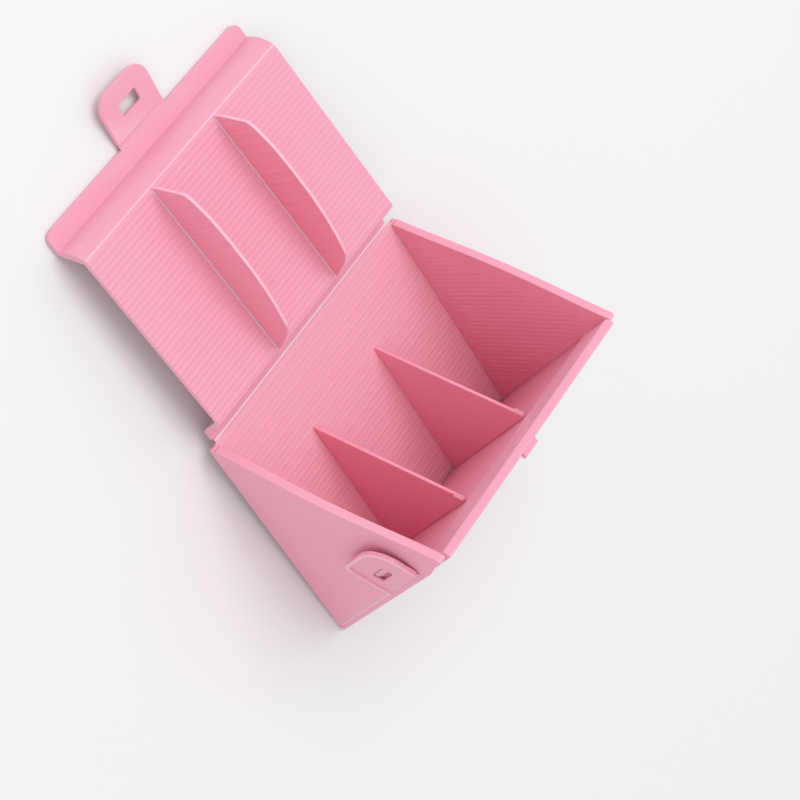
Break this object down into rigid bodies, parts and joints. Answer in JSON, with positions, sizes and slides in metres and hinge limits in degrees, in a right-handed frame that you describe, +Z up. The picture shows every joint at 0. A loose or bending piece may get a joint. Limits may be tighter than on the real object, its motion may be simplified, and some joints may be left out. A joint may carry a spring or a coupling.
{
  "type": "hinged triangular bento lunch box",
  "caption": "Pink moulded triangular lunch box for small rice balls: divided trough, hinged lid with fins, and three snap latches.",
  "frame": {"origin": "centre of the bounding box on the ground, under the box as it lies on its back with the lid thrown open", "axes": "+Y from the lid's free edge to the bottom fold of the trough; +Z up; X along the box, parallel to the lid's hinge"},
  "size_m": [0.1192, 0.1923, 0.0782],
  "materials": {
    "pink_shell": "satin",
    "pink_living_hinge": "satin"
  },
  "bodies": {
    "box": {"back_wall": "pink_shell", "front_wall": "pink_shell", "end_panel_left": "pink_shell", "end_panel_right": "pink_shell", "divider_left": "pink_shell", "divider_right": "pink_shell", "front_catch": "pink_shell", "latch_nub_left": "pink_shell", "latch_nub_right": "pink_shell", "apex_hinge": "pink_shell", "end_hinge_left": "pink_shell", "end_hinge_right": "pink_shell", "lid_hinge": "pink_living_hinge", "side_latch_hinge_left": "pink_living_hinge", "side_latch_hinge_right": "pink_living_hinge"},
    "lid": {"lid_hinge_strip": "pink_shell", "lid_panel": "pink_shell", "lid_flange": "pink_shell", "lid_fin_left": "pink_shell", "lid_fin_right": "pink_shell", "lid_latch_hinge": "pink_living_hinge"},
    "lid_latch": {"lid_latch_tab": "pink_shell"},
    "latch_left": {"side_latch_left": "pink_shell"},
    "latch_right": {"side_latch_right": "pink_shell"}
  },
  "joints": [
    {"name": "lid_hinge_joint", "type": "hinge", "parent": "box", "child": "lid", "pos_m": [0, 0.00944, 0.00606], "axis": [1, 0, 0], "range_deg": [-126.2, 24]},
    {"name": "lid_latch_joint", "type": "hinge", "parent": "lid", "child": "lid_latch", "pos_m": [0, -0.0788, 0.00151], "axis": [1, 0, 0], "range_deg": [-105, 45]},
    {"name": "latch_left_joint", "type": "hinge", "parent": "box", "child": "latch_left", "pos_m": [0.05555, 0.06749, 0.05342], "axis": [0, -0.4445, 0.8958], "range_deg": [0, 105]},
    {"name": "latch_right_joint", "type": "hinge", "parent": "box", "child": "latch_right", "pos_m": [-0.05555, 0.06749, 0.05342], "axis": [0, 0.4445, -0.8958], "range_deg": [0, 105]}
  ]
}
